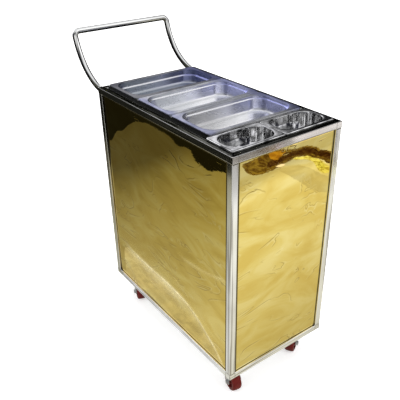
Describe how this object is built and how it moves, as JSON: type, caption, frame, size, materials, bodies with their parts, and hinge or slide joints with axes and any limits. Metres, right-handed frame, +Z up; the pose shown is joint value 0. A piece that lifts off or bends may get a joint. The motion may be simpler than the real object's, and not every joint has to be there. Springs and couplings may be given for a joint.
{
  "type": "buffet trolley",
  "caption": "Narrow wheeled buffet trolley: welded square-tube frame with gold mirror panels, rear door, push handle, lift-out food pans and sauce bowls on top, and swivel castors below.",
  "frame": {"origin": "on the floor, under the middle of the trolley's overall box, push handle included", "axes": "+X towards the bowl end, away from the push handle; +Y to the left; +Z up"},
  "size_m": [0.8508, 0.38, 0.9795],
  "materials": {
    "frame_steel": "mirror-polished stainless tube",
    "handle_steel": "mirror-polished stainless round tube",
    "gold_sheet": "gold-coloured mirror stainless sheet, slightly wavy",
    "sheet_steel": "polished stainless sheet",
    "pan_steel": "satin drawn stainless, cool tint",
    "bowl_steel": "mirror-polished drawn stainless",
    "hardware_steel": "polished stainless",
    "catch_plastic": "moulded housing",
    "zinc_steel": "bright zinc plate",
    "wheel_core": "dark red moulding",
    "wheel_tread": "dark red cast tread, semi-gloss"
  },
  "bodies": {
    "trolley": {"frame_post_front_left": "frame_steel", "frame_post_front_right": "frame_steel", "frame_post_rear_left": "frame_steel", "frame_post_rear_right": "frame_steel", "frame_top_rail_left": "frame_steel", "frame_top_rail_right": "frame_steel", "frame_top_rail_front": "frame_steel", "frame_top_rail_rear": "frame_steel", "frame_bottom_rail_left": "frame_steel", "frame_bottom_rail_right": "frame_steel", "frame_bottom_rail_front": "frame_steel", "frame_bottom_rail_rear": "frame_steel", "side_panel_left": "gold_sheet", "side_panel_right": "gold_sheet", "front_panel": "gold_sheet", "deck": "sheet_steel", "counter": "sheet_steel", "cross_bar_rear": "sheet_steel", "cross_bar_front": "sheet_steel", "push_handle": "handle_steel", "hinge_frame_leaf_lower": "hardware_steel", "hinge_frame_leaf_upper": "hardware_steel", "hinge_pin_lower": "hardware_steel", "hinge_pin_upper": "hardware_steel", "door_catch": "catch_plastic", "castor_bearer_front": "zinc_steel", "castor_bearer_rear": "zinc_steel", "castor_plate_front_left": "zinc_steel", "castor_plate_front_right": "zinc_steel", "castor_plate_rear_left": "zinc_steel", "castor_plate_rear_right": "zinc_steel", "castor_kingpins": "zinc_steel", "castor_bolts": "zinc_steel"},
    "door": {"rear_door": "gold_sheet", "hinge_door_leaf_lower": "hardware_steel", "hinge_door_leaf_upper": "hardware_steel", "door_pull": "hardware_steel", "door_strike": "hardware_steel"},
    "pan_rear": {"food_pan_rear": "pan_steel"},
    "pan_middle": {"food_pan_middle": "pan_steel"},
    "pan_front": {"food_pan_front": "pan_steel"},
    "bowl_left": {"sauce_bowl_left": "bowl_steel"},
    "bowl_right": {"sauce_bowl_right": "bowl_steel"},
    "fork_front_left": {"castor_fork_front_left": "zinc_steel", "castor_axle_front_left": "zinc_steel"},
    "wheel_front_left": {"wheel_core_front_left": "wheel_core", "wheel_tread_front_left": "wheel_tread"},
    "fork_front_right": {"castor_fork_front_right": "zinc_steel", "castor_axle_front_right": "zinc_steel"},
    "wheel_front_right": {"wheel_core_front_right": "wheel_core", "wheel_tread_front_right": "wheel_tread"},
    "fork_rear_left": {"castor_fork_rear_left": "zinc_steel", "castor_axle_rear_left": "zinc_steel"},
    "wheel_rear_left": {"wheel_core_rear_left": "wheel_core", "wheel_tread_rear_left": "wheel_tread"},
    "fork_rear_right": {"castor_fork_rear_right": "zinc_steel", "castor_axle_rear_right": "zinc_steel"},
    "wheel_rear_right": {"wheel_core_rear_right": "wheel_core", "wheel_tread_rear_right": "wheel_tread"}
  },
  "joints": [
    {"name": "door_hinge", "type": "hinge", "parent": "trolley", "child": "door", "pos_m": [-0.26359, 0.169, 0.4555], "axis": [0, 0, -1], "range_deg": [0, 170]},
    {"name": "pan_rear_lift", "type": "slide", "parent": "trolley", "child": "pan_rear", "axis": [0, 0, 1], "range_m": [0, 0.1]},
    {"name": "pan_middle_lift", "type": "slide", "parent": "trolley", "child": "pan_middle", "axis": [0, 0, 1], "range_m": [0, 0.1]},
    {"name": "pan_front_lift", "type": "slide", "parent": "trolley", "child": "pan_front", "axis": [0, 0, 1], "range_m": [0, 0.1]},
    {"name": "bowl_left_lift", "type": "slide", "parent": "trolley", "child": "bowl_left", "axis": [0, 0, 1], "range_m": [0, 0.1]},
    {"name": "bowl_right_lift", "type": "slide", "parent": "trolley", "child": "bowl_right", "axis": [0, 0, 1], "range_m": [0, 0.1]},
    {"name": "swivel_front_left", "type": "hinge", "parent": "trolley", "child": "fork_front_left", "pos_m": [0.36141, 0.139, 0.0735], "axis": [0, 0, 1], "continuous": true},
    {"name": "roll_front_left", "type": "hinge", "parent": "fork_front_left", "child": "wheel_front_left", "pos_m": [0.37391, 0.11735, 0.0325], "axis": [-0.866, -0.5, 0], "continuous": true},
    {"name": "swivel_front_right", "type": "hinge", "parent": "trolley", "child": "fork_front_right", "pos_m": [0.36141, -0.139, 0.0735], "axis": [0, 0, 1], "continuous": true},
    {"name": "roll_front_right", "type": "hinge", "parent": "fork_front_right", "child": "wheel_front_right", "pos_m": [0.38586, -0.1442, 0.0325], "axis": [-0.2079, -0.9781, 0], "continuous": true},
    {"name": "swivel_rear_left", "type": "hinge", "parent": "trolley", "child": "fork_rear_left", "pos_m": [-0.19659, 0.139, 0.0735], "axis": [0, 0, 1], "continuous": true},
    {"name": "roll_rear_left", "type": "hinge", "parent": "fork_rear_left", "child": "wheel_rear_left", "pos_m": [-0.17891, 0.12132, 0.0325], "axis": [-0.7071, -0.7071, 0], "continuous": true},
    {"name": "swivel_rear_right", "type": "hinge", "parent": "trolley", "child": "fork_rear_right", "pos_m": [-0.19659, -0.139, 0.0735], "axis": [0, 0, 1], "continuous": true},
    {"name": "roll_rear_right", "type": "hinge", "parent": "fork_rear_right", "child": "wheel_rear_right", "pos_m": [-0.1731, -0.14755, 0.0325], "axis": [-0.342, -0.9397, 0], "continuous": true}
  ]
}
